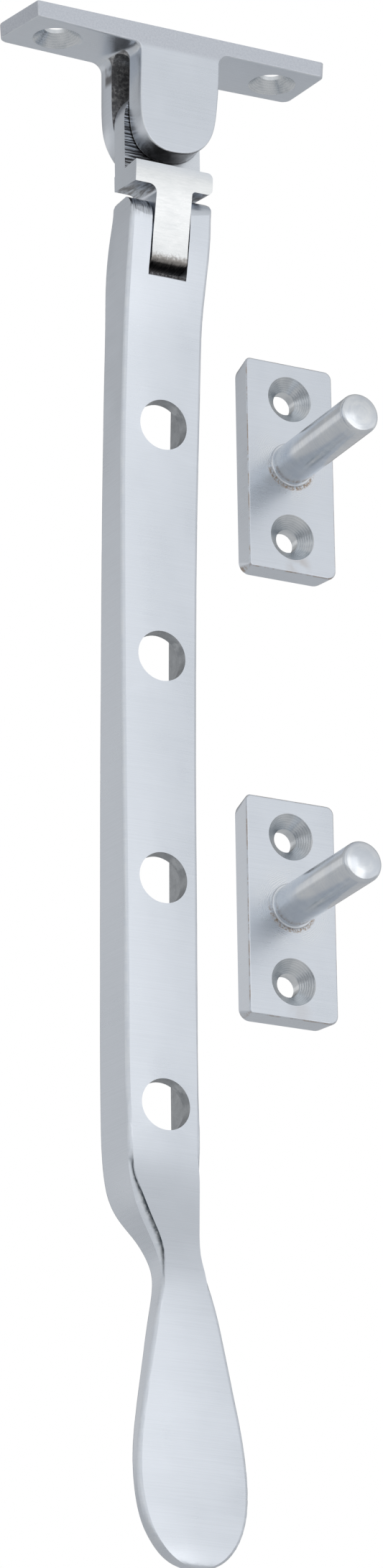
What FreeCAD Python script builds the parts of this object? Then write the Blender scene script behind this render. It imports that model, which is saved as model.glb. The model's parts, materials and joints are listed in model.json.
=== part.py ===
import FreeCAD, Part
import math
import os

# Casement stay: sash bracket, knuckle, channel arm with spoon handle, and two pin plates.
# Frame: +Z up along the hanging arm, +X to the right, front faces look along -Y.
# The origin is the middle of the bracket's mounting face. Lengths in mm, angles in degrees.

# ---- sash bracket ----
FLANGE_DEPTH = 12.6
FLANGE_THICK = 2.7
# Plan corners of the flange, from front left round to back left: x, y, corner radius.
FLANGE_TOP_CORNERS = ((-27.0, -6.3, 0.4), (28.3, -6.3, 0.9), (27.6, 6.3, 1.6), (-29.4, 6.3, 2.2))
FLANGE_LOW_CORNERS = ((-26.85, -6.3, 0.4), (28.0, -6.3, 0.9), (27.15, 6.3, 1.6), (-28.5, 6.3, 1.2))
FLANGE_LOW_Z = -4.0
SCREW_MIDDLE_X = 0.5
SCREW_SPACING = 41.6
SCREW_Y = 0.4
SCREW_HOLE_R = 2.1
SCREW_SINK_R = 4.1
# Ear outlines seen from the front, left to right round the bottom: x, z.
FRONT_EAR = (
    (-7.68, -10.5), (-7.7, -15.6), (-7.25, -19.0), (-6.0, -21.55), (-3.9, -23.0), (-1.0, -23.35),
    (2.1, -22.75), (4.6, -20.95), (6.2, -18.2), (6.95, -14.8), (7.4, -10.2),
)
BACK_EAR = (
    (-8.9, -9.5), (-8.85, -14.2), (-8.4, -17.4), (-7.1, -20.3), (-4.8, -22.7), (-1.4, -23.8),
    (2.2, -23.4), (5.3, -21.5), (7.3, -18.6), (8.2, -15.0), (8.5, -10.0),
)
FRONT_EAR_TOP_X = (-7.55, 7.65)
BACK_EAR_TOP_X = (-8.85, 8.6)
# Bracket sections, front to back: y, underside z at left end, left root, right root
# and right end, then root radius left and right.
BRACKET_SECTIONS = (
    (-6.3, -2.75, -3.7, -2.85, -2.95, 1.3, 2.0),
    (-2.05, -2.6, -3.4, -2.8, -2.75, 1.5, 2.0),
    (2.25, -2.45, -3.0, -2.75, -2.5, 1.8, 2.1),
    (6.3, -2.3, -2.65, -2.7, -2.25, 2.0, 2.2),
)
RIM_ROUND = 0.3
GAP_FRONT_Y = -2.05
GAP_BACK_Y = 2.25
GAP_ARCH_Z = -5.6
GAP_HALF_LENGTH = 9.6

# ---- swivel pin, runs front to back through the ears ----
SWIVEL_X = -0.6
SWIVEL_Z = -15.7
SWIVEL_PIN_R = 2.5
SWIVEL_BLIND_Y = -5.2
HINGE_CLEARANCE = 0.05
PIN_HEAD_R = 3.6
PIN_HEAD_TOP_R = 2.8
PIN_HEAD_HEIGHT = 0.6

# ---- knuckle ----
KNUCKLE_X = -1.4
TONGUE_TOP_R = 7.2
TONGUE_TOP_Z = -16.4
TONGUE_FRONT_Y = -1.8
TONGUE_BACK_Y = 2.0
CROSSBAR_HALF = 7.3
CROSSBAR_TOP_Z = -25.9
CROSSBAR_FRONT_BOTTOM_Z = -30.8
CROSSBAR_BACK_BOTTOM_Z = -28.7
CROSSBAR_CORNER_R = 1.0
LOWER_TONGUE_X = -1.25
LOWER_TONGUE_WIDTH = 6.7
LOWER_TONGUE_R = 6.9
# Front profile from the top of the crossbar down the lower tongue: y, z.
KNUCKLE_FRONT = ((-6.3, -25.9), (-6.0, -29.9), (-5.25, -33.5), (-4.4, -37.5))
LOWER_TONGUE_END_Y = -3.6
TONGUE_END_ROUND = 1.0
NECK_FILLET_LEFT = 1.5
NECK_FILLET_RIGHT = 0.6

# ---- lift pin, runs left to right through the arm's cheeks ----
LIFT_Y = -0.9
LIFT_Z = -36.3
LIFT_PIN_R = 2.25
LIFT_LEFT_X = -8.0
LIFT_RIGHT_X = 6.4

# ---- stay arm ----
ARM_X = -1.2
# Cheek tops, left then right: side, middle y and z of the half round, its radius, outer corner radius.
CHEEKS = ((-1, -0.6, -35.15, 4.15, 1.2), (1, -0.76, -33.85, 4.2, 1.9))
CHEEK_HALF = 7.8
SLOT_X = -1.35
SLOT_WIDTH = 7.2
SLOT_FLOOR_Z = -44.8
PLATE_WALL = 2.3
FLANGE_WALL = 2.3
CHANNEL_BOTTOM_Z = -199.0
ARM_HOLE_R = 4.4
ARM_HOLE_X = -0.9
ARM_HOLE_Z = (-71.2, -112.4, -151.4, -190.4)
ARM_BACK_ROUND = 0.5
ARM_EDGE_ROUND = 0.6
FRONT_CROWN = 0.016
EDGE_BULGE = 0.15
FACET_HOLLOW = -0.17
RIGHT_FACET_SHARE = 0.25

# Arm stations, top to bottom: height, front width, back width, front y, back y.
HEAD_STATIONS = (
    (-29.0, 15.3, 15.6, -5.7, 2.9),
    (-37.0, 15.3, 15.6, -4.4, 3.7),
    (-44.0, 15.1, 15.6, -3.0, 5.4),
)
CHANNEL_STATIONS = (
    (-52.0, 14.7, 15.2, -1.4, 6.3),
    (-60.0, 14.7, 15.2, -0.6, 6.8),
    (-71.0, 14.7, 15.2, 0.3, 7.5),
    (-91.0, 14.3, 15.2, 1.4, 8.5),
    (-112.0, 14.0, 15.2, 2.1, 9.3),
    (-132.0, 13.7, 15.3, 2.5, 9.9),
    (-152.0, 13.5, 15.3, 2.7, 10.4),
    (-172.0, 13.3, 15.4, 2.9, 10.8),
    (-191.0, 13.2, 15.4, 2.9, 11.0),
)
# Neck and spoon stations: height, middle x, front width, back width, front y, back y,
# then side run and depth of the corner facet.
SPOON_STATIONS = (
    (-198.0, -1.2, 12.9, 15.2, 2.7, 10.9, 0.1, 0.6),
    (-202.0, -1.2, 12.2, 14.8, 2.2, 10.6, 0.4, 0.8),
    (-206.0, -1.2, 10.9, 14.0, 1.0, 9.7, 0.9, 1.0),
    (-210.0, -1.2, 9.3, 12.7, -0.4, 7.2, 1.2, 1.1),
    (-214.0, -1.25, 7.6, 10.8, -2.0, 3.7, 1.1, 1.1),
    (-218.0, -1.3, 7.0, 9.1, -3.3, 1.1, 0.6, 0.9),
    (-221.0, -1.4, 7.8, 8.8, -4.1, -0.4, 0.2, 0.6),
    (-224.0, -1.4, 9.1, 9.7, -4.5, -1.2, 0.1, 0.5),
    (-228.0, -1.4, 11.0, 11.4, -4.8, -1.6, 0.1, 0.5),
    (-233.0, -1.4, 13.0, 13.3, -5.0, -1.9, 0.1, 0.5),
    (-239.0, -1.4, 15.2, 15.5, -5.2, -2.3, 0.1, 0.5),
    (-245.0, -1.35, 17.5, 17.7, -5.3, -2.7, 0.1, 0.5),
    (-251.0, -1.3, 19.1, 19.3, -5.5, -3.1, 0.1, 0.6),
    (-256.0, -1.2, 19.4, 19.6, -5.7, -3.5, 0.1, 0.7),
    (-260.0, -1.15, 18.5, 18.7, -6.0, -3.7, 0.1, 0.8),
    (-263.0, -1.15, 16.8, 17.0, -6.2, -3.9, 0.1, 0.8),
    (-265.5, -1.15, 14.2, 14.4, -6.4, -4.1, 0.1, 0.8),
    (-267.5, -1.15, 10.8, 11.0, -6.5, -4.2, 0.1, 0.8),
    (-268.8, -1.15, 6.8, 7.0, -6.5, -4.4, 0.1, 0.7),
    (-269.4, -1.15, 2.8, 3.0, -6.4, -4.6, 0.1, 0.5),
)

# ---- pin plates ----
# Outline corners from lower left round to upper left, about the plate's middle: x, z, corner radius.
PLATE_FRONT_CORNERS = ((-8.65, -20.1, 0.5), (8.65, -20.1, 1.7), (8.65, 20.1, 1.4), (-8.65, 20.1, 0.8))
PLATE_BACK_CORNERS = ((-8.65, -20.1, 2.0), (8.65, -20.1, 2.8), (8.65, 20.1, 1.8), (-8.65, 20.1, 2.8))
PLATE_THICK = 4.2
PLATE_EDGE_R = 0.35
PLATE_FRONT_Y = 41.0
PLATE_SCREW_SPACING = 26.6
PLATE_SCREW_R = 2.15
PLATE_SINK_R = 4.3
UPPER_PLATE_X = 45.5
UPPER_PLATE_Z = -54.9
LOWER_PLATE_X = 43.85
LOWER_PLATE_Z = -138.2
PEG_R = 3.75
PEG_LENGTH = 26.2
PEG_DOME_R = 12.0
PEG_END_R = 0.8
PEG_RISE = 0.5
PEG_COLLAR_R = 4.15
PEG_COLLAR_LENGTH = 0.5
PEG_COLLAR_ROUND = 0.25
PEG_SPIGOT_R = 2.5
PEG_SPIGOT_SHORT = 0.3

X_AXIS = FreeCAD.Vector(1, 0, 0)
Y_AXIS = FreeCAD.Vector(0, 1, 0)
Z_AXIS = FreeCAD.Vector(0, 0, 1)
FAR = 100.0


def vec(x, y, z):
    return FreeCAD.Vector(x, y, z)


def box(x0, x1, y0, y1, z0, z1):
    return Part.makeBox(x1 - x0, y1 - y0, z1 - z0, vec(x0, y0, z0))


def rod(radius, start, end):
    axis = end - start
    return Part.makeCylinder(radius, axis.Length, start, axis)


def edges_where(shape, test):
    return [edge for edge in shape.Edges if test(edge)]


def along(edge, axis):
    ends = [vertex.Point for vertex in edge.Vertexes]
    if len(ends) != 2:
        return False
    run = ends[1] - ends[0]
    return run.Length > 0 and abs(abs(run.dot(axis)) - run.Length) < 1e-6


def edge_middle(edge):
    return edge.valueAt((edge.FirstParameter + edge.LastParameter) / 2)


def rounded_outline(corners, z):
    """Closed outline through plan corners (x, y, radius) at one height."""
    count = len(corners)
    points = [vec(x, y, z) for x, y, radius in corners]
    tangents = []
    for index, (x, y, radius) in enumerate(corners):
        here = points[index]
        to_last = (points[index - 1] - here).normalize()
        to_next = (points[(index + 1) % count] - here).normalize()
        half_angle = to_last.getAngle(to_next) / 2
        reach = radius / math.tan(half_angle)
        bisector = (to_last + to_next).normalize()
        middle = here + bisector * (radius / math.sin(half_angle) - radius)
        tangents.append((here + to_last * reach, middle, here + to_next * reach))
    edges = []
    for index, (start, middle, end) in enumerate(tangents):
        edges.append(Part.Arc(start, middle, end).toShape())
        edges.append(Part.makeLine(end, tangents[(index + 1) % count][0]))
    return Part.Wire(edges)


def root_arc(ear_x, root_z, radius, y, side):
    """Quarter round between the flange underside and an ear side; side is -1 left, 1 right."""
    start = vec(ear_x + side * radius, y, root_z)
    middle = vec(ear_x + side * radius * (1 - math.sqrt(0.5)), y, root_z - radius * (1 - math.sqrt(0.5)))
    end = vec(ear_x, y, root_z - radius)
    return start, middle, end


def bracket_section(section, ear, top_x):
    """Closed T outline of the bracket at one depth, with spare height above the mounting face."""
    y, left_end_z, left_root_z, right_root_z, right_end_z, left_radius, right_radius = section
    reach = FAR / 3
    left_start, left_middle, left_end = root_arc(top_x[0], left_root_z, left_radius, y, -1)
    right_start, right_middle, right_end = root_arc(top_x[1], right_root_z, right_radius, y, 1)
    ear_points = [left_end] + [vec(x, y, z) for x, z in ear] + [right_end]
    outline = Part.BSplineCurve()
    outline.interpolate(Points=ear_points, InitialTangent=-Z_AXIS, FinalTangent=Z_AXIS)
    top_left = vec(-reach, y, FLANGE_THICK)
    top_right = vec(reach, y, FLANGE_THICK)
    low_left = vec(-reach, y, left_end_z)
    low_right = vec(reach, y, right_end_z)
    return Part.Wire([
        Part.makeLine(top_right, top_left),
        Part.makeLine(top_left, low_left),
        Part.makeLine(low_left, left_start),
        Part.Arc(left_start, left_middle, left_end).toShape(),
        outline.toShape(),
        Part.Arc(right_end, right_middle, right_start).toShape(),
        Part.makeLine(right_start, low_right),
        Part.makeLine(low_right, top_right),
    ])


def countersink(x, y, face_z, depth_limit):
    """Clearance hole with a 90 degree cone opening downward at face_z."""
    cone_depth = SCREW_SINK_R - SCREW_HOLE_R
    hole = rod(SCREW_HOLE_R, vec(x, y, face_z - 1), vec(x, y, face_z + depth_limit + 1))
    cone = Part.makeCone(SCREW_SINK_R + 1, SCREW_HOLE_R, cone_depth + 1, vec(x, y, face_z - 1), Z_AXIS)
    return hole.fuse(cone)


def make_bracket():
    front_y = -FLANGE_DEPTH / 2
    front, front_inner, back_inner, back = BRACKET_SECTIONS
    body = Part.makeLoft([
        bracket_section(front, FRONT_EAR, FRONT_EAR_TOP_X),
        bracket_section(front_inner, FRONT_EAR, FRONT_EAR_TOP_X),
        bracket_section(back_inner, BACK_EAR, BACK_EAR_TOP_X),
        bracket_section(back, BACK_EAR, BACK_EAR_TOP_X),
    ], True, False)
    plan = Part.makeLoft([
        rounded_outline(FLANGE_LOW_CORNERS, -FAR),
        rounded_outline(FLANGE_LOW_CORNERS, FLANGE_LOW_Z),
        rounded_outline(FLANGE_TOP_CORNERS, 0),
    ], True, True)
    body = body.common(plan).removeSplitter()
    gap_middle = (GAP_FRONT_Y + GAP_BACK_Y) / 2
    gap = box(-GAP_HALF_LENGTH, GAP_HALF_LENGTH, GAP_FRONT_Y, GAP_BACK_Y, -FAR, GAP_ARCH_Z)
    arch_ends = [vec(side * GAP_HALF_LENGTH, gap_middle, GAP_ARCH_Z) for side in (-1, 1)]
    body = body.cut(gap.fuse(rod((GAP_BACK_Y - GAP_FRONT_Y) / 2, *arch_ends)))

    def on_front_rim(edge):
        middle = edge_middle(edge)
        return abs(middle.y - front_y) < 1e-3 and middle.z < -FLANGE_THICK / 2 and not along(edge, Z_AXIS)

    body = body.makeFillet(RIM_ROUND, edges_where(body, on_front_rim))
    for side in (-1, 1):
        screw_x = SCREW_MIDDLE_X + side * SCREW_SPACING / 2
        body = body.cut(countersink(screw_x, SCREW_Y, -FLANGE_THICK, FLANGE_THICK))
    pin_end = vec(SWIVEL_X, SWIVEL_BLIND_Y, SWIVEL_Z)
    return body.cut(rod(SWIVEL_PIN_R, pin_end, vec(SWIVEL_X, FAR, SWIVEL_Z)))


def make_swivel_pin():
    back_face = FLANGE_DEPTH / 2
    shank = rod(SWIVEL_PIN_R, vec(SWIVEL_X, SWIVEL_BLIND_Y, SWIVEL_Z), vec(SWIVEL_X, back_face, SWIVEL_Z))
    head_foot = vec(SWIVEL_X, back_face, SWIVEL_Z)
    head = Part.makeCone(PIN_HEAD_R, PIN_HEAD_TOP_R, PIN_HEAD_HEIGHT, head_foot, Y_AXIS)
    return shank.fuse(head).removeSplitter()


def side_profile(points, x0, x1):
    """Solid between two x planes with a closed polygon of (y, z) points as its section."""
    corners = [vec(x0, y, z) for y, z in points]
    return Part.Face(Part.makePolygon(corners + corners[:1])).extrude(X_AXIS * (x1 - x0))


def crossbar_and_tongue(x0, x1):
    """Side profile of the crossbar and lower tongue, between two x planes."""
    end_z = LIFT_Z - math.sqrt(LOWER_TONGUE_R ** 2 - (LOWER_TONGUE_END_Y - LIFT_Y) ** 2)
    back_end_z = LIFT_Z - math.sqrt(LOWER_TONGUE_R ** 2 - (TONGUE_BACK_Y - LIFT_Y) ** 2)
    front_points = [vec(x0, y, z) for y, z in KNUCKLE_FRONT] + [vec(x0, LOWER_TONGUE_END_Y, end_z)]
    front = Part.BSplineCurve()
    front.interpolate(front_points)
    bottom = vec(x0, LIFT_Y, LIFT_Z - LOWER_TONGUE_R)
    back_end = vec(x0, TONGUE_BACK_Y, back_end_z)
    back_top = vec(x0, TONGUE_BACK_Y, CROSSBAR_TOP_Z)
    profile = Part.Wire([
        front.toShape(),
        Part.Arc(front_points[-1], bottom, back_end).toShape(),
        Part.makeLine(back_end, back_top),
        Part.makeLine(back_top, front_points[0]),
    ])
    solid = Part.Face(profile).extrude(X_AXIS * (x1 - x0))

    def at_end(edge):
        middle = edge_middle(edge)
        return along(edge, X_AXIS) and abs(middle.y - LOWER_TONGUE_END_Y) < 1e-3 and middle.z < LIFT_Z

    return solid.makeFillet(TONGUE_END_ROUND, edges_where(solid, at_end))


def make_knuckle():
    left = KNUCKLE_X - CROSSBAR_HALF
    right = KNUCKLE_X + CROSSBAR_HALF
    tongue_half = LOWER_TONGUE_WIDTH / 2
    round_front = vec(KNUCKLE_X, TONGUE_FRONT_Y, TONGUE_TOP_Z)
    round_back = vec(KNUCKLE_X, TONGUE_BACK_Y, TONGUE_TOP_Z)
    upper = rod(TONGUE_TOP_R, round_front, round_back)
    stem_left = KNUCKLE_X - TONGUE_TOP_R
    stem_right = KNUCKLE_X + TONGUE_TOP_R
    stem_foot_z = CROSSBAR_TOP_Z - 1
    upper = upper.fuse(box(stem_left, stem_right, TONGUE_FRONT_Y, TONGUE_BACK_Y, stem_foot_z, TONGUE_TOP_Z))
    crossbar = side_profile([
        (-FLANGE_DEPTH, CROSSBAR_TOP_Z), (-FLANGE_DEPTH, CROSSBAR_FRONT_BOTTOM_Z),
        (TONGUE_BACK_Y, CROSSBAR_BACK_BOTTOM_Z), (TONGUE_BACK_Y, CROSSBAR_TOP_Z),
    ], left, right)

    def right_corner(edge):
        ends = [vertex.Point for vertex in edge.Vertexes]
        at_right = all(abs(end.x - right) < 1e-6 for end in ends)
        return at_right and abs(ends[0].y - ends[1].y) > 1

    crossbar = crossbar.makeFillet(CROSSBAR_CORNER_R, edges_where(crossbar, right_corner))
    tongue = box(LOWER_TONGUE_X - tongue_half, LOWER_TONGUE_X + tongue_half, -FLANGE_DEPTH, FLANGE_DEPTH,
                 LIFT_Z - 2 * LOWER_TONGUE_R, CROSSBAR_TOP_Z)
    lower = crossbar_and_tongue(left, right).common(crossbar.fuse(tongue))
    body = upper.fuse(lower).removeSplitter()

    def neck_edges(side):
        side_x = LOWER_TONGUE_X + side * tongue_half

        def test(edge):
            ends = [vertex.Point for vertex in edge.Vertexes]
            on_side = all(abs(end.x - side_x) < 1e-4 for end in ends)
            runs_back = len(ends) == 2 and abs(ends[0].y - ends[1].y) > FLANGE_DEPTH / 2
            return on_side and runs_back and min(end.z for end in ends) > CROSSBAR_FRONT_BOTTOM_Z
        return edges_where(body, test)

    body = body.makeFillet(NECK_FILLET_LEFT, neck_edges(-1))
    body = body.makeFillet(NECK_FILLET_RIGHT, neck_edges(1))
    swivel_bore_r = SWIVEL_PIN_R + HINGE_CLEARANCE
    lift_bore_r = LIFT_PIN_R + HINGE_CLEARANCE
    body = body.cut(rod(swivel_bore_r, vec(SWIVEL_X, -FAR, SWIVEL_Z), vec(SWIVEL_X, FAR, SWIVEL_Z)))
    return body.cut(rod(lift_bore_r, vec(-FAR, LIFT_Y, LIFT_Z), vec(FAR, LIFT_Y, LIFT_Z)))


def arm_section(z, middle_x, front_width, back_width, front_y, back_y, facet_out, facet_back):
    """Closed arm outline at one height: crowned front, faceted front corners, hollow in the neck."""
    hollow = facet_out > facet_back / 4
    run = 0.2 if hollow else min(ARM_EDGE_ROUND, front_width / 4)
    back_run = min(ARM_BACK_ROUND, back_width / 4)
    half_front = front_width / 2
    half_back = back_width / 2
    bulge = FACET_HOLLOW if hollow else EDGE_BULGE

    def half_outline(side, reach):
        start = vec(half_front - run, front_y, z)
        end = vec(half_front + reach, front_y + facet_back, z)
        chord = end - start
        outward = vec(chord.y, -chord.x, 0)
        middle = (start + end) * 0.5 + outward * bulge
        side_end = vec(half_back, back_y - back_run, z)
        back_corner = vec(half_back - 0.29 * back_run, back_y - 0.29 * back_run, z)
        back_end = vec(half_back - back_run, back_y, z)
        points = (start, middle, end, side_end, back_corner, back_end)
        return [vec(middle_x + side * point.x, point.y, z) for point in points]

    right = half_outline(1, facet_out * RIGHT_FACET_SHARE if hollow else facet_out)
    left = half_outline(-1, facet_out)
    crown = vec(middle_x, front_y - FRONT_CROWN * front_width, z)
    return Part.Wire([
        Part.Arc(left[0], crown, right[0]).toShape(),
        Part.Arc(right[0], right[1], right[2]).toShape(),
        Part.makeLine(right[2], right[3]),
        Part.Arc(right[3], right[4], right[5]).toShape(),
        Part.makeLine(right[5], left[5]),
        Part.Arc(left[5], left[4], left[3]).toShape(),
        Part.makeLine(left[3], left[2]),
        Part.Arc(left[2], left[1], left[0]).toShape(),
    ])


def channel_hollow():
    """Space inside the channel, open at the back, between the slot and the neck."""
    wires = []
    for z, front_width, back_width, front_y, back_y in CHANNEL_STATIONS:
        half = back_width / 2 - FLANGE_WALL
        floor_y = front_y + PLATE_WALL
        wires.append(Part.makePolygon([
            vec(ARM_X - half, floor_y, z),
            vec(ARM_X + half, floor_y, z),
            vec(ARM_X + half, back_y + FLANGE_WALL, z),
            vec(ARM_X - half, back_y + FLANGE_WALL, z),
            vec(ARM_X - half, floor_y, z),
        ]))
    hollow = Part.makeLoft(wires, True, True)
    z, front_width, back_width, front_y, back_y = CHANNEL_STATIONS[-1]
    half = back_width / 2 - FLANGE_WALL
    return hollow.fuse(box(ARM_X - half, ARM_X + half, front_y + PLATE_WALL, back_y + FLANGE_WALL,
                           CHANNEL_BOTTOM_Z, z))


def cheek_envelope(side, round_y, round_z, round_r, corner_r):
    """Everything below one cheek's half-round top; side is -1 left, 1 right."""
    outer = ARM_X + side * CHEEK_HALF
    top = round_z + round_r
    block = box(min(SLOT_X, outer), max(SLOT_X, outer), -FAR, FAR, -4 * FAR, top)
    corner = edges_where(block, lambda e: (edge_middle(e) - vec(outer, 0, top)).Length < 1e-6)
    block = block.makeFillet(corner_r, corner)
    head = rod(round_r, vec(-FAR, round_y, round_z), vec(FAR, round_y, round_z))
    return block.common(head.fuse(box(-FAR, FAR, -FAR, FAR, -5 * FAR, round_z)))


def make_arm():
    straight = HEAD_STATIONS + CHANNEL_STATIONS
    stations = [(row[0], ARM_X) + row[1:] + (0.05, ARM_EDGE_ROUND) for row in straight]
    stations += list(SPOON_STATIONS)
    outer = Part.makeLoft([arm_section(*row) for row in stations], True, False)
    keep = box(-FAR, FAR, -FAR, FAR, -5 * FAR, SLOT_FLOOR_Z)
    for cheek in CHEEKS:
        keep = keep.fuse(cheek_envelope(*cheek))
    body = outer.common(keep)
    slot_half = SLOT_WIDTH / 2
    body = body.cut(box(SLOT_X - slot_half, SLOT_X + slot_half, -FAR, FAR, SLOT_FLOOR_Z, 0))
    body = body.cut(channel_hollow())
    for z in ARM_HOLE_Z:
        body = body.cut(rod(ARM_HOLE_R, vec(ARM_HOLE_X, -FAR, z), vec(ARM_HOLE_X, FAR, z)))
    body = body.cut(rod(LIFT_PIN_R, vec(LIFT_LEFT_X, LIFT_Y, LIFT_Z), vec(FAR, LIFT_Y, LIFT_Z)))
    return body


def make_lift_pin():
    return rod(LIFT_PIN_R, vec(LIFT_LEFT_X, LIFT_Y, LIFT_Z), vec(LIFT_RIGHT_X, LIFT_Y, LIFT_Z))


def make_pin_plate(x, z):
    front = PLATE_FRONT_Y
    back = front + PLATE_THICK
    plate = Part.makeLoft([
        rounded_outline(PLATE_BACK_CORNERS, -PLATE_THICK),
        rounded_outline(PLATE_FRONT_CORNERS, 0),
    ], True, True)
    plate.rotate(vec(0, 0, 0), X_AXIS, 90)
    plate.translate(vec(x, front, z))
    rim = edges_where(plate, lambda e: all(abs(v.Point.y - front) < 1e-6 for v in e.Vertexes))
    plate = plate.makeFillet(PLATE_EDGE_R, rim)
    cone_depth = PLATE_SINK_R - PLATE_SCREW_R
    for side in (-1, 1):
        hole_z = z + side * PLATE_SCREW_SPACING / 2
        plate = plate.cut(rod(PLATE_SCREW_R, vec(x, front - 1, hole_z), vec(x, back + 1, hole_z)))
        mouth = vec(x, front - 1, hole_z)
        plate = plate.cut(Part.makeCone(PLATE_SINK_R + 1, PLATE_SCREW_R, cone_depth + 1, mouth, Y_AXIS))
    peg_z = z + PEG_RISE
    return plate.cut(rod(PEG_SPIGOT_R, vec(x, front - 1, peg_z), vec(x, back + 1, peg_z)))


def make_peg(x, z):
    tip_y = PLATE_FRONT_Y - PEG_LENGTH
    shank = rod(PEG_R, vec(x, PLATE_FRONT_Y, z), vec(x, tip_y, z))
    dome_middle = vec(x, tip_y + PEG_DOME_R, z)
    dome = Part.makeSphere(PEG_DOME_R, dome_middle)
    shank = shank.common(dome.fuse(rod(PEG_COLLAR_R, vec(x, PLATE_FRONT_Y, z), dome_middle)))

    def on_tip_rim(edge):
        return edge.Length > PEG_R and edge_middle(edge).y < tip_y + PEG_R and not along(edge, Y_AXIS)

    shank = shank.makeFillet(PEG_END_R, edges_where(shank, on_tip_rim))
    collar_y = PLATE_FRONT_Y - PEG_COLLAR_LENGTH
    collar = rod(PEG_COLLAR_R, vec(x, PLATE_FRONT_Y, z), vec(x, collar_y, z))

    def on_collar_rim(edge):
        return len(edge.Vertexes) == 1 and abs(edge_middle(edge).y - collar_y) < 1e-6

    collar = collar.makeFillet(PEG_COLLAR_ROUND, edges_where(collar, on_collar_rim))
    spigot_end = PLATE_FRONT_Y + PLATE_THICK - PEG_SPIGOT_SHORT
    spigot = rod(PEG_SPIGOT_R, vec(x, PLATE_FRONT_Y, z), vec(x, spigot_end, z))
    return shank.fuse(collar).fuse(spigot).removeSplitter()


PARTS = {
    "sash_bracket": make_bracket(),
    "swivel_pin": make_swivel_pin(),
    "knuckle": make_knuckle(),
    "lift_pin": make_lift_pin(),
    "stay_arm": make_arm(),
    "upper_pin_plate": make_pin_plate(UPPER_PLATE_X, UPPER_PLATE_Z),
    "upper_peg": make_peg(UPPER_PLATE_X, UPPER_PLATE_Z + PEG_RISE),
    "lower_pin_plate": make_pin_plate(LOWER_PLATE_X, LOWER_PLATE_Z),
    "lower_peg": make_peg(LOWER_PLATE_X, LOWER_PLATE_Z + PEG_RISE),
}

os.makedirs("parts", exist_ok=True)
for name, shape in PARTS.items():
    print(name, shape.isValid(), len(shape.Solids), round(shape.Volume, 1))
    shape.exportStep(os.path.join("parts", name + ".step"))
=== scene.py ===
import json
import math
from functools import partial

import bpy
from mathutils import Matrix, Vector


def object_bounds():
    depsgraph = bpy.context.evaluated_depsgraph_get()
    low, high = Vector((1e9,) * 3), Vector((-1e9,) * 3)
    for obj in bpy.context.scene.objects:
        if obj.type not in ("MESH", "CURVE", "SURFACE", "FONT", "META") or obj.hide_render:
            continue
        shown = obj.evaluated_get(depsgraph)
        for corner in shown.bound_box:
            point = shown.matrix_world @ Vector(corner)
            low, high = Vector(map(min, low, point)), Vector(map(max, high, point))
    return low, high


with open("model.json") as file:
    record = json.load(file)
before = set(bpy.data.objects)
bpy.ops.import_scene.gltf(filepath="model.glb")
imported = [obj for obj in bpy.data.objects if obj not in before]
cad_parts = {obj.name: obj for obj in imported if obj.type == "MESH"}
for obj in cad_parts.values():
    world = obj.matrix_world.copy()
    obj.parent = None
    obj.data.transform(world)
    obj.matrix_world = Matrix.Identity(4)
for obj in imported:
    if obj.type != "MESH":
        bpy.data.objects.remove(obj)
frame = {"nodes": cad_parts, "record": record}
cad_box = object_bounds()
nodes = frame["nodes"]
mounts = {mount["name"]: mount for mount in frame["record"]["mounts"]}

MM = 0.001
TURN = 2.0 * math.pi

# ---- metal tints, linear ----
SATIN_LIGHT = (0.75, 0.797, 0.865, 1.0)
SATIN_SHADE = (0.66, 0.706, 0.77, 1.0)
FROST_LIGHT = (0.68, 0.715, 0.775, 1.0)
FROST_SHADE = (0.54, 0.575, 0.64, 1.0)
# painted highlight on the knuckle's front
HIGHLIGHT_BRIGHT = (0.95, 0.97, 0.98, 1.0)
HIGHLIGHT_DIM = (0.74, 0.77, 0.79, 1.0)
TURNED_LIGHT = (0.80, 0.83, 0.86, 1.0)
TURNED_SHADE = (0.55, 0.59, 0.63, 1.0)
# casting tints; they also serve as painted shade between the ears, in the slot, under the ears, on the
# upper tongue, at the tongue end, on the ledge and on the left cheek
CAST_AND_SHADE_LIGHT = (0.62, 0.62, 0.62, 1.0)
CAST_AND_SHADE_MIDDLE = (0.24, 0.24, 0.25, 1.0)
CAST_AND_SHADE_DARK = (0.05, 0.05, 0.054, 1.0)
# hole walls: bare metal, darkened as painted shade
DRILLED_AND_SHADE_LIGHT = (0.50, 0.53, 0.56, 1.0)
DRILLED_AND_SHADE_DARK = (0.22, 0.235, 0.255, 1.0)
# painted shade in the neck hollow
HOLLOW_SHADE = (0.05, 0.065, 0.08, 1.0)
# warm band at the tongue end: partly stain, partly painted shade
WARM_STAIN_AND_SHADE = (0.34, 0.325, 0.31, 1.0)
BROWN_STAIN = (0.40, 0.31, 0.24, 1.0)
# pale end of the painted shade under the ears
RIM_SHADE_PALE = (0.36, 0.36, 0.37, 1.0)

# ---- roughness of the zones ----
SINK_ROUGH = 0.26
SWIRL_ROUGH = 0.24
WORN_ROUGH = 0.3
# used for zones of painted shade, under the ears and on the left cheek
SHADE_ZONE_ROUGH = 0.34
MILLED_ROUGH = 0.35
WASH_ROUGH = 0.36
DRILLED_ROUGH = 0.38
FROST_ROUGH = 0.4
TORN_ROUGH = 0.42
STAIN_ROUGH = 0.45
RAW_ROUGH = 0.5

# ---- spacing of tool marks, mm ----
SINK_PITCH = 0.31
SWIRL_PITCH = 0.33
ROD_PITCH = 0.2

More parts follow.
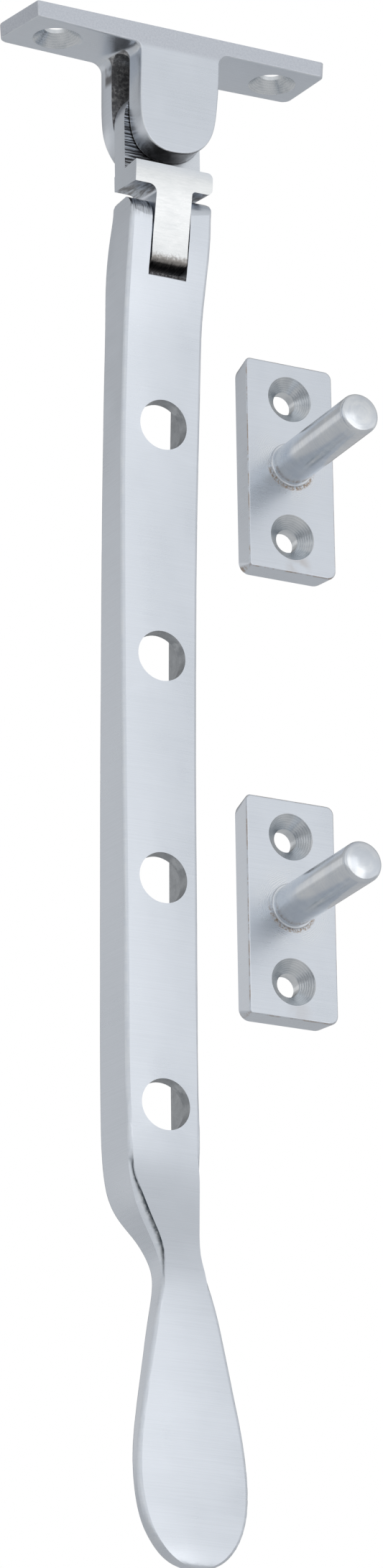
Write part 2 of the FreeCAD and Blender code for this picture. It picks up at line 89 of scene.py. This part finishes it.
# ---- where zones lie, mm: between two values, or fading in from the first to the second ----
SASH_SINK_R = 4.1
PLATE_SINK_R = 4.3
FLANGE_EDGE_Z = (-4.6, -3.4)
EAR_GAP_Y = (-2.06, 2.26)
EAR_GAP_Z = (-3.3, -3.5)
EAR_FOOT_Z = (-14.0, -17.0)
SMEAR_X = (-7.6, -8.0)
SMEAR_Y = (2.2, 3.8)
SMEAR_Z = (-7.4, -5.0)
CROSSBAR_FRONT_Z = (-25.4, -28.4)
CROSSBAR_TOP_Z = (-24.0, -25.5)
CROSSBAR_FOOT_Z = (-31.4, -28.0)
UPPER_TONGUE_Z = (-25.9, -25.6)
UPPER_TONGUE_X = (3.0, -1.0)
# tongue end: a band partly stain and partly painted shade, then painted shadow
TONGUE_STAIN_AND_SHADE_Z = (-39.8, -41.2)
TONGUE_END_Z = (-41.2, -42.2)
SLOT_Z = (-45.2, -28.0)
SLOT_X = (-4.9, 2.2)
LEFT_CHEEK_Z = (-36.2, -32.4)
LEFT_CHEEK_X = (-4.8, -5.2)
HOLES_X = (-6.7, 4.26)
HOLES_TOP_Z = (-44.9, -45.5)
HOLES_END_Z = (-199.2, -199.0)
NECK_Z = (-217.0, -203.0)
SWIRL_R = (9.0, 5.0)
SEAT_R = (5.0, 4.5)
SEAT_Z = (1.0, -2.5)
WASH_R = (3.2, 0.6)
WASH_RIGHT = 1.0
WASH_DROP = 18.5

# ---- which way a zone faces: part of the surface normal along an axis, fading in ----
FRONT = (-0.4, -0.7)
KNUCKLE_FRONT = (-0.4, -0.75)
UPPER_TONGUE_FRONT = (-0.7, -0.9)
CHEEK_FRONT = (-0.2, -0.4)
OFF_FRONT = (-0.5, -0.3)
HOLLOW_FROM_FRONT = (-0.86, -0.45)
HOLLOW_FROM_SIDE = (-0.22, -0.42)
HOLLOW_LEFT = (-0.2, -0.5)
OFF_BELOW = (-0.6, -0.3)
EAR_BELOW = (-0.5, -0.85)
CROSSBAR_BELOW = (-0.25, -0.5)
LEDGE_ABOVE = (0.5, 0.8)
LEVEL_FACE = (0.6, 0.8)
OFF_FLAT = (0.85, 0.6)
ROUNDED = (0.1, 0.35)

# ---- studio, in metres and degrees ----
FLOOR_DROP = 0.42
FLOOR_SIZE = 14.0
FLOOR_GREY = (0.86, 0.9)
FLOOR_ROUGH = 0.8
LAMP_WARM = (1.0, 0.96, 0.92)
LAMP_DISTANCE = 0.9
CAMERA_AZIMUTH = -27.5
CAMERA_ELEVATION = -20.31
CAMERA_ROLL = -0.91
CAMERA_AIM = (0.00323, 0.0, -0.13517)
CAMERA_DISTANCE = 1.0688
CAMERA_CLIP = (0.01, 20.0)
LENS_MM = 148.35
SENSOR_MM = 36.0


def in_mm(point):
    return tuple(value / MM for value in point)


def add_node(tree, kind, inputs=None, **settings):
    """New node; each input takes a value, or a link when it is given another node's socket."""
    node = tree.nodes.new(kind)
    for key, value in settings.items():
        setattr(node, key, value)
    for key, value in (inputs or {}).items():
        if isinstance(value, bpy.types.NodeSocket):
            tree.links.new(value, node.inputs[key])
        else:
            node.inputs[key].default_value = value
    return node


# ---------------------------------------------------------------- material builder
class Finish:
    """A metal whose colour, roughness and relief (in mm) are laid on zone by zone."""

    def __init__(self, name):
        self.material = bpy.data.materials.new(name)
        self.material.use_nodes = True
        self.tree = self.material.node_tree
        self.tree.nodes.clear()
        coords = self.add("ShaderNodeTexCoord")
        inputs = {0: coords.outputs["Object"], 3: 1.0 / MM}
        scaled = self.add("ShaderNodeVectorMath", inputs, operation="SCALE")
        self.place = scaled.outputs[0]
        split = self.add("ShaderNodeSeparateXYZ", {0: self.place})
        self.x, self.y, self.z = split.outputs
        facing = self.add("ShaderNodeSeparateXYZ", {0: coords.outputs["Normal"]})
        self.facing_x, self.facing_y, self.facing_z = facing.outputs
        self.color = None
        self.rough = None
        self.relief = None

    def add(self, kind, inputs=None, **settings):
        return add_node(self.tree, kind, inputs, **settings)

    def math(self, operation, *values):
        return self.add("ShaderNodeMath", dict(enumerate(values)), operation=operation).outputs[0]

    def ramp(self, value, start, end, low=0.0, high=1.0):
        """Smooth step from low at start to high at end."""
        inputs = {"Value": value, "From Min": start, "From Max": end, "To Min": low, "To Max": high}
        return self.add("ShaderNodeMapRange", inputs, interpolation_type="SMOOTHSTEP").outputs[0]

    def between(self, value, low, high, soft):
        """Mask that is 1 between low and high and fades out over soft on both sides."""
        return self.math("MULTIPLY", self.ramp(value, low - soft, low), self.ramp(value, high + soft, high))

    def both(self, *masks):
        """Where all the masks meet."""
        result = masks[0]
        for mask in masks[1:]:
            result = self.math("MULTIPLY", result, mask)
        return result

    def stretched(self, size, detail=3.0, roughness=0.6, offset=(0.0, 0.0, 0.0)):
        """Noise with a typical feature size in mm along x, y and z."""
        inverse = tuple(1.0 / value for value in size)
        moved = self.add("ShaderNodeMapping", {"Vector": self.place, "Location": offset, "Scale": inverse})
        inputs = {"Vector": moved.outputs[0], "Scale": 1.0, "Detail": detail, "Roughness": roughness}
        return self.add("ShaderNodeTexNoise", inputs).outputs[0]

    def shade(self, factor, dark, light):
        """Colour from dark to light by factor."""
        inputs = {0: factor, 6: dark, 7: light}
        return self.add("ShaderNodeMix", inputs, data_type="RGBA", clamp_factor=True).outputs[2]

    def blend(self, mask, under, over):
        """Value from under to over by mask."""
        return self.add("ShaderNodeMix", {0: mask, 2: under, 3: over}, data_type="FLOAT").outputs[0]

    def axis_distance(self, center, axis):
        """Distance in mm from the line through center along axis."""
        moved = self.add("ShaderNodeVectorMath", {0: self.place, 1: center}, operation="SUBTRACT")
        keep = tuple(0.0 if letter == axis else 1.0 for letter in "XYZ")
        flat = self.add("ShaderNodeVectorMath", {0: moved.outputs[0], 1: keep}, operation="MULTIPLY")
        return self.add("ShaderNodeVectorMath", {0: flat.outputs[0]}, operation="LENGTH").outputs["Value"]

    def rings(self, distance, pitch, wander):
        """Turned grooves: 0 to 1 across the pitch, with the pitch drifting a little."""
        drift = self.math("MULTIPLY", self.stretched((1.6, 1.6, 1.6)), wander)
        phase = self.math("MULTIPLY", self.math("ADD", distance, drift), TURN / pitch)
        return self.math("MULTIPLY_ADD", self.math("SINE", phase), 0.5, 0.5)

    def start(self, color, rough, bumps, depth):
        """The finish that covers the whole piece."""
        self.color = color
        self.rough = rough
        self.relief = self.math("MULTIPLY", bumps, depth)

    def lay(self, mask, color, rough, bumps=None, depth=0.0):
        """Cover the masked zone with another finish; without bumps, the relief below it stays."""
        self.color = self.shade(mask, self.color, color)
        self.rough = self.blend(mask, self.rough, rough)
        if bumps is not None:
            self.relief = self.blend(mask, self.relief, self.math("MULTIPLY", bumps, depth))

    def close(self):
        """Join the layers to a metal shader."""
        bump = self.add("ShaderNodeBump", {"Strength": 1.0, "Distance": MM, "Height": self.relief})
        inputs = {"Base Color": self.color, "Metallic": 1.0, "Roughness": self.rough}
        inputs["Normal"] = bump.outputs[0]
        shader = self.add("ShaderNodeBsdfPrincipled", inputs)
        self.add("ShaderNodeOutputMaterial", {"Surface": shader.outputs[0]})
        return self.material


# ---------------------------------------------------------------- finishes
def satin(finish):
    """Brushed satin plate: fine strokes round the piece, over slow uneven polish."""
    across = finish.stretched((11.0, 11.0, 0.13), 4.0, 0.65)
    along = finish.stretched((6.0, 0.14, 6.0), 4.0, 0.65, (3.0, 0.0, 5.0))
    level = finish.ramp(finish.math("ABSOLUTE", finish.facing_z), *LEVEL_FACE)
    strokes = finish.blend(level, across, along)
    cloud = finish.stretched((9.0, 9.0, 14.0), 2.0, 0.5)
    tone = finish.math("ADD", finish.math("MULTIPLY", strokes, 0.6), finish.math("MULTIPLY", cloud, 0.5))
    color = finish.shade(finish.ramp(tone, 0.25, 0.85), SATIN_SHADE, SATIN_LIGHT)
    base = finish.ramp(cloud, 0.3, 0.7, low=0.20, high=0.28)
    rough = finish.math("MULTIPLY_ADD", strokes, 0.16, base)
    finish.start(color, rough, strokes, depth=0.003)


def worn_edges(finish, tint, strength):
    """Patches of rubbed bright or stained metal where two faces meet."""
    facings = (finish.facing_x, finish.facing_y, finish.facing_z)
    squares = [finish.math("MULTIPLY", value, value) for value in facings]
    flattest = finish.math("MAXIMUM", finish.math("MAXIMUM", squares[0], squares[1]), squares[2])
    corner = finish.math("SUBTRACT", 1.0, flattest)
    patches = finish.stretched((2.2, 2.2, 2.2), 5.0, 0.7, (5.0, 1.0, 3.0))
    mask = finish.both(finish.ramp(corner, *ROUNDED), finish.ramp(patches, 0.4, 0.62), strength)
    finish.lay(mask, tint, WORN_ROUGH, patches, depth=0.02)


def lay_casting_and_shade(finish, mask, grain, dark, light):
    """Rough unpolished casting, darkened as painted shade in a recess: dark, with lighter raised specks."""
    specks = finish.stretched((grain, grain, grain), 5.0, 0.7, (2.0, 4.0, 1.0))
    color = finish.shade(finish.ramp(specks, 0.42, 0.68), dark, light)
    finish.lay(mask, color, RAW_ROUGH, specks, depth=0.16 * grain)


def countersunk(finish, center, axis, facing, radius):
    """Turning grooves in a countersink, out to its rim, but not on the flat face behind it."""
    distance = finish.axis_distance(center, axis)
    grooves = finish.rings(distance, SINK_PITCH, wander=0.3)
    mask = finish.both(finish.ramp(distance, radius + 0.08, radius - 0.05), finish.ramp(facing, *OFF_FLAT))
    sector = finish.stretched((3.0, 3.0, 3.0), 2.0, 0.5, (1.0, 7.0, 2.0))
    tone = finish.math("MULTIPLY_ADD", grooves, 0.45, finish.ramp(sector, 0.35, 0.65, high=0.55))
    color = finish.shade(tone, TURNED_SHADE, TURNED_LIGHT)
    finish.lay(mask, color, SINK_ROUGH, grooves, depth=0.0055)


def bracket_finish():
    """Frosted flange edge, raw casting with painted shade between the ears, painted shade under them and a
    smear beside them.
    """
    finish = Finish("bracket_satin_chrome")
    satin(finish)
    frost = finish.stretched((0.35, 0.35, 0.35), 4.0, 0.75, (4.0, 4.0, 4.0))
    flange_edge = finish.both(
        finish.ramp(finish.z, *FLANGE_EDGE_Z), finish.ramp(finish.facing_z, *OFF_BELOW))
    frosted = finish.shade(finish.ramp(frost, 0.2, 0.8), FROST_SHADE, FROST_LIGHT)
    finish.lay(flange_edge, frosted, FROST_ROUGH, frost, depth=0.006)
    screws = mounts["sash_screws"]
    middle = in_mm(screws["pos_m"])
    for side in (-1, 1):
        offset = side * screws["dims"]["spacing_x_mm"] / 2.0
        center = (middle[0] + offset, middle[1], middle[2])
        countersunk(finish, center, "Z", finish.facing_z, SASH_SINK_R)
    # raw casting between the ears, darkened as painted shade where the ears shade each other
    gap = finish.both(finish.between(finish.y, *EAR_GAP_Y, soft=0.05), finish.ramp(finish.z, *EAR_GAP_Z))
    lay_casting_and_shade(finish, gap, 0.7, CAST_AND_SHADE_MIDDLE, CAST_AND_SHADE_LIGHT)
    # painted shade on the underside of the ears' lower ends, blotchy dark to pale
    blotch = finish.stretched((0.9, 1.3, 0.7), 4.0, 0.6)
    shaded_undersides = finish.both(finish.ramp(finish.facing_z, *EAR_BELOW), finish.ramp(finish.z, *EAR_FOOT_Z))
    finish.lay(shaded_undersides, finish.shade(blotch, CAST_AND_SHADE_DARK, RIM_SHADE_PALE), SHADE_ZONE_ROUGH)
    soft = finish.stretched((2.5, 2.5, 2.5), 2.0, 0.5)
    smear = finish.both(
        finish.ramp(finish.x, *SMEAR_X), finish.between(finish.y, *SMEAR_Y, soft=0.7),
        finish.between(finish.z, *SMEAR_Z, soft=1.2), finish.ramp(soft, 0.3, 0.6))
    finish.lay(smear, CAST_AND_SHADE_MIDDLE, RAW_ROUGH)
    worn_edges(finish, TURNED_LIGHT, 0.6)
    return finish.close()


def knuckle_finish():
    """Painted highlight with scuffs on the front, mill marks under painted shadow on the upper tongue, torn
    crossbar foot, stain and painted shade at the tongue end, and painted shade on the ledge.
    """
    finish = Finish("knuckle_satin_chrome")
    satin(finish)
    cloud = finish.stretched((5.0, 5.0, 3.0), 3.0, 0.6)
    scuffs = finish.stretched((2.0, 2.0, 0.35), 5.0, 0.75, (6.0, 2.0, 1.0))
    # painted highlight: the knuckle's front-facing side is made brighter, with scuffs
    forward = finish.ramp(finish.facing_y, *KNUCKLE_FRONT)
    front_highlight = finish.both(forward, finish.ramp(finish.z, *CROSSBAR_FRONT_Z, low=0.25))
    tone = finish.math("MULTIPLY_ADD", scuffs, 1.2, finish.math("MULTIPLY_ADD", cloud, 0.8, -0.5))
    bright = finish.shade(tone, HIGHLIGHT_DIM, HIGHLIGHT_BRIGHT)
    finish.lay(front_highlight, bright, finish.math("MULTIPLY_ADD", cloud, 0.16, 0.16))
    # painted shadow on the upper tongue's front under the ear, with mill marks
    marks = finish.stretched((6.0, 3.0, 0.3), 4.0, 0.7)
    milled_in_shade = finish.shade(finish.ramp(marks, 0.45, 0.65), CAST_AND_SHADE_DARK, SATIN_SHADE)
    upper_tongue = finish.both(
        finish.ramp(finish.z, *UPPER_TONGUE_Z), finish.ramp(finish.facing_y, *UPPER_TONGUE_FRONT),
        finish.ramp(finish.x, *UPPER_TONGUE_X))
    finish.lay(upper_tongue, milled_in_shade, MILLED_ROUGH, marks, depth=0.05)
    streaks = finish.stretched((0.5, 5.0, 0.6), 4.0, 0.7)
    torn = finish.shade(finish.ramp(streaks, 0.36, 0.6), CAST_AND_SHADE_MIDDLE, SATIN_SHADE)
    below = finish.ramp(finish.facing_z, *CROSSBAR_BELOW)
    under = finish.both(below, finish.between(finish.z, *CROSSBAR_FOOT_Z, soft=0.2))
    finish.lay(under, torn, TORN_ROUGH, streaks, depth=0.06)
    # a warm band, partly stain and partly painted shade, then a painted dark shadow over the rounded tongue
    # end
    ragged = finish.math("MULTIPLY_ADD", streaks, 2.4, finish.z)
    finish.lay(finish.ramp(ragged, *TONGUE_STAIN_AND_SHADE_Z), WARM_STAIN_AND_SHADE, STAIN_ROUGH, marks, depth=0.03)
    finish.lay(finish.ramp(ragged, *TONGUE_END_Z), CAST_AND_SHADE_DARK, RAW_ROUGH, marks, depth=0.03)
    # painted shade on the crossbar's top, where the ear above shades it, with streaks
    ledge = finish.both(finish.ramp(finish.facing_z, *LEDGE_ABOVE), finish.ramp(finish.z, *CROSSBAR_TOP_Z))
    ledge_shade = finish.shade(finish.ramp(streaks, 0.4, 0.66), CAST_AND_SHADE_DARK, CAST_AND_SHADE_LIGHT)
    finish.lay(ledge, ledge_shade, RAW_ROUGH)
    return finish.close()


def arm_finish():
    """Raw casting with painted shade in the slot, painted shade with scrape marks on the left cheek, hole
    walls bare from the drill and darkened as painted shade, and painted shade in the neck hollow.
    """
    finish = Finish("arm_satin_chrome")
    satin(finish)
    # raw casting in the slot, darkened as painted shade in the recess
    slot = finish.both(
        finish.between(finish.z, *SLOT_Z, soft=0.2), finish.between(finish.x, *SLOT_X, soft=0.04))
    lay_casting_and_shade(finish, slot, 0.5, CAST_AND_SHADE_DARK, CAST_AND_SHADE_MIDDLE)
    # painted shade with scrape marks on the top of the left cheek
    brushed = finish.stretched((0.3, 8.0, 3.5), 4.0, 0.7)
    cheek = finish.both(
        finish.ramp(finish.z, *LEFT_CHEEK_Z), finish.ramp(finish.facing_y, *CHEEK_FRONT),
        finish.ramp(finish.x, *LEFT_CHEEK_X))
    scraped_and_shaded = finish.shade(finish.ramp(brushed, 0.4, 0.62), CAST_AND_SHADE_DARK, SATIN_LIGHT)
    finish.lay(cheek, scraped_and_shaded, SHADE_ZONE_ROUGH, brushed, depth=0.03)
    # hole walls, bare from the drill and darkened as painted shade inside the holes
    scale = finish.stretched((1.2, 1.2, 1.2), 4.0, 0.7)
    inside = finish.both(
        finish.between(finish.x, *HOLES_X, soft=0.05), finish.ramp(finish.z, *HOLES_TOP_Z),
        finish.ramp(finish.z, *HOLES_END_Z), finish.ramp(finish.facing_y, *OFF_FRONT))
    drilled_and_shaded = finish.shade(scale, DRILLED_AND_SHADE_DARK, DRILLED_AND_SHADE_LIGHT)
    finish.lay(inside, drilled_and_shaded, DRILLED_ROUGH, scale, depth=0.03)
    # painted shade in the neck's left hollow
    hollow = finish.both(
        finish.between(finish.z, *NECK_Z, soft=6.0), finish.ramp(finish.facing_y, *HOLLOW_FROM_FRONT),
        finish.ramp(finish.facing_y, *HOLLOW_FROM_SIDE), finish.ramp(finish.facing_x, *HOLLOW_LEFT))
    finish.lay(hollow, HOLLOW_SHADE, WORN_ROUGH)
    worn_edges(finish, TURNED_LIGHT, 0.4)
    return finish.close()


def plate_finish(name, screws_name, peg_name, wash):
    """Plate with turned marks and grime round the peg, and a faint brown wash at its lower end."""
    finish = Finish(name)
    front = finish.ramp(finish.facing_y, *FRONT)
    satin(finish)
    peg = in_mm(mounts[peg_name]["pos_m"])
    from_peg = finish.axis_distance(peg, "Y")
    swirl = finish.rings(from_peg, SWIRL_PITCH, wander=0.9)
    worn = finish.stretched((3.5, 3.5, 3.5), 2.0, 0.5)
    mask = finish.both(finish.ramp(from_peg, *SWIRL_R), finish.ramp(worn, 0.35, 0.6), front, 0.8)
    turned = finish.shade(swirl, SATIN_SHADE, TURNED_LIGHT)
    finish.lay(mask, turned, SWIRL_ROUGH, swirl, depth=0.009)
    grit = finish.stretched((0.5, 0.5, 0.5), 4.0, 0.7)
    below = finish.ramp(finish.z, *(peg[2] + height for height in SEAT_Z))
    seat = finish.both(finish.ramp(from_peg, *SEAT_R), finish.ramp(grit, 0.42, 0.58), below, front)
    finish.lay(seat, BROWN_STAIN, FROST_ROUGH, grit, depth=0.04)
    worn_edges(finish, BROWN_STAIN, 0.8)
    screws = mounts[screws_name]
    center = in_mm(screws["pos_m"])
    from_wash = finish.axis_distance((center[0] + WASH_RIGHT, center[1], center[2] - WASH_DROP), "Y")
    washed = finish.both(finish.ramp(from_wash, *WASH_R), finish.ramp(worn, 0.3, 0.55), front, wash)
    finish.lay(washed, BROWN_STAIN, WASH_ROUGH)
    for side in (-1, 1):
        offset = side * screws["dims"]["spacing_y_mm"] / 2.0
        middle = (center[0], center[1], center[2] + offset)
        countersunk(finish, middle, "Y", finish.facing_y, PLATE_SINK_R)
    return finish.close()


def turned_finish(name, axis):
    """Turned rod: fine grooves round the axis and uneven wear."""
    finish = Finish(name)
    size = tuple(ROD_PITCH if letter == axis else 5.0 for letter in "XYZ")
    grooves = finish.stretched(size, 4.0, 0.7)
    cloud = finish.stretched((4.0, 4.0, 4.0), 3.0, 0.6)
    tone = finish.math("MULTIPLY_ADD", grooves, 0.5, finish.math("MULTIPLY", cloud, 0.5))
    color = finish.shade(finish.ramp(tone, 0.35, 0.65), SATIN_SHADE, TURNED_LIGHT)
    rough = finish.math("MULTIPLY_ADD", cloud, 0.15, 0.14)
    finish.start(color, rough, grooves, depth=0.006)
    return finish.close()


# ---------------------------------------------------------------- stage
def build_world():
    """White backdrop; what the metal reflects is dimmer behind, with a dark upper right back corner."""
    world = bpy.data.worlds.new("studio")
    bpy.context.scene.world = world
    world.use_nodes = True
    world.node_tree.nodes.clear()
    add = partial(add_node, world.node_tree)
    coords = add("ShaderNodeTexCoord")
    split = add("ShaderNodeSeparateXYZ", {0: coords.outputs["Generated"]})

    def fade(axis, start, end, low, high):
        """Straight change from low to high along an axis of the direction looked at."""
        inputs = {"Value": split.outputs[axis], "From Min": start, "From Max": end}
        inputs.update({"To Min": low, "To Max": high})
        return add("ShaderNodeMapRange", inputs).outputs[0]

    def times(first, second):
        return add("ShaderNodeMath", {0: first, 1: second}, operation="MULTIPLY").outputs[0]

    right_back = times(fade("X", -0.2, 0.2, 0.0, 1.0), fade("Y", 0.4, 0.8, 0.0, 0.65))
    corner = times(right_back, fade("Z", 0.05, 0.35, 0.0, 1.0))
    outside = add("ShaderNodeMath", {0: 1.0, 1: corner}, operation="SUBTRACT").outputs[0]
    level = times(fade("Y", -0.75, 0.85, 0.9, 0.51), fade("Z", 0.1, 0.7, 1.0, 0.8))
    glow = add("ShaderNodeBackground", {"Color": (1, 1, 1, 1), "Strength": times(level, outside)})
    plain = add("ShaderNodeBackground", {"Color": (1, 1, 1, 1), "Strength": 1.0})
    direct = add("ShaderNodeLightPath").outputs["Is Camera Ray"]
    mix = add("ShaderNodeMixShader", {0: direct, 1: glow.outputs[0], 2: plain.outputs[0]})
    add("ShaderNodeOutputWorld", {"Surface": mix.outputs[0]})


def build_softbox(name, aim_z, direction, size, power):
    """Soft lamp that looks at the arm's axis, at height aim_z, from the given direction."""
    data = bpy.data.lights.new(name, "AREA")
    data.shape = "RECTANGLE"
    data.size, data.size_y = size
    data.energy = power
    data.color = LAMP_WARM
    lamp = bpy.data.objects.new(name, data)
    towards = Vector(direction).normalized()
    lamp.location = Vector((0.0, 0.0, aim_z)) + towards * LAMP_DISTANCE
    lamp.rotation_euler = towards.to_track_quat("Z", "Y").to_euler()
    bpy.context.scene.collection.objects.link(lamp)


def build_floor():
    """Plain pale floor well below the object."""
    mesh = bpy.data.meshes.new("floor")
    half = FLOOR_SIZE / 2.0
    level = cad_box[0][2] - FLOOR_DROP
    corners = [(-half, -half, level), (half, -half, level), (half, half, level), (-half, half, level)]
    mesh.from_pydata(corners, [], [(0, 1, 2, 3)])
    floor = bpy.data.objects.new("floor", mesh)
    bpy.context.scene.collection.objects.link(floor)
    material = bpy.data.materials.new("floor_pale")
    material.use_nodes = True
    material.node_tree.nodes.clear()
    add = partial(add_node, material.node_tree)
    noise = add("ShaderNodeTexNoise", {"Scale": 3.0, "Detail": 2.0})
    inputs = {"Value": noise.outputs[0], "To Min": FLOOR_GREY[0], "To Max": FLOOR_GREY[1]}
    grey = add("ShaderNodeMapRange", inputs).outputs[0]
    color = add("ShaderNodeCombineColor", {0: grey, 1: grey, 2: grey})
    shader = add("ShaderNodeBsdfPrincipled", {"Base Color": color.outputs[0], "Roughness": FLOOR_ROUGH})
    add("ShaderNodeOutputMaterial", {"Surface": shader.outputs[0]})
    mesh.materials.append(material)


def build_camera():
    """Long lens looking up at the object from its left front."""
    azimuth = math.radians(CAMERA_AZIMUTH)
    elevation = math.radians(CAMERA_ELEVATION)
    roll = math.radians(CAMERA_ROLL)
    level = Vector((math.cos(azimuth), math.sin(azimuth), 0.0))
    outward = Vector((math.sin(azimuth), -math.cos(azimuth), 0.0))
    back = outward * math.cos(elevation) + Vector((0.0, 0.0, math.sin(elevation)))
    rise = back.cross(level)
    right = level * math.cos(roll) + rise * math.sin(roll)
    up = rise * math.cos(roll) - level * math.sin(roll)
    place = Vector(CAMERA_AIM) + back * CAMERA_DISTANCE
    data = bpy.data.cameras.new("camera")
    data.sensor_width = SENSOR_MM
    data.lens = LENS_MM
    data.clip_start, data.clip_end = CAMERA_CLIP
    camera = bpy.data.objects.new("camera", data)
    camera.matrix_world = Matrix((
        (right.x, up.x, back.x, place.x),
        (right.y, up.y, back.y, place.y),
        (right.z, up.z, back.z, place.z),
        (0.0, 0.0, 0.0, 1.0),
    ))
    bpy.context.scene.collection.objects.link(camera)
    bpy.context.scene.camera = camera


build_world()
build_floor()
build_softbox("key_front", aim_z=-0.05, direction=(0.15, -0.95, 0.15), size=(0.35, 0.3), power=0.16)
build_softbox("head_front", aim_z=-0.02, direction=(0.4, -0.95, -0.15), size=(0.25, 0.25), power=0.14)
build_softbox("fill_back_left", aim_z=-0.2, direction=(-0.45, 0.83, 0.33), size=(0.5, 0.3), power=0.12)
build_camera()

finishes = {
    "sash_bracket": bracket_finish(),
    "swivel_pin": turned_finish("swivel_pin_turned_chrome", "Y"),
    "knuckle": knuckle_finish(),
    "lift_pin": turned_finish("lift_pin_turned_chrome", "X"),
    "stay_arm": arm_finish(),
    "upper_pin_plate": plate_finish("upper_plate_satin_chrome", "upper_plate_screws", "upper_peg", 0.4),
    "upper_peg": turned_finish("upper_peg_turned_chrome", "Y"),
    "lower_pin_plate": plate_finish("lower_plate_satin_chrome", "lower_plate_screws", "lower_peg", 0.15),
    "lower_peg": turned_finish("lower_peg_turned_chrome", "Y"),
}
for name, node in nodes.items():
    node.data.materials.clear()
    node.data.materials.append(finishes[name])

bpy.context.scene.view_settings.view_transform = "Standard"
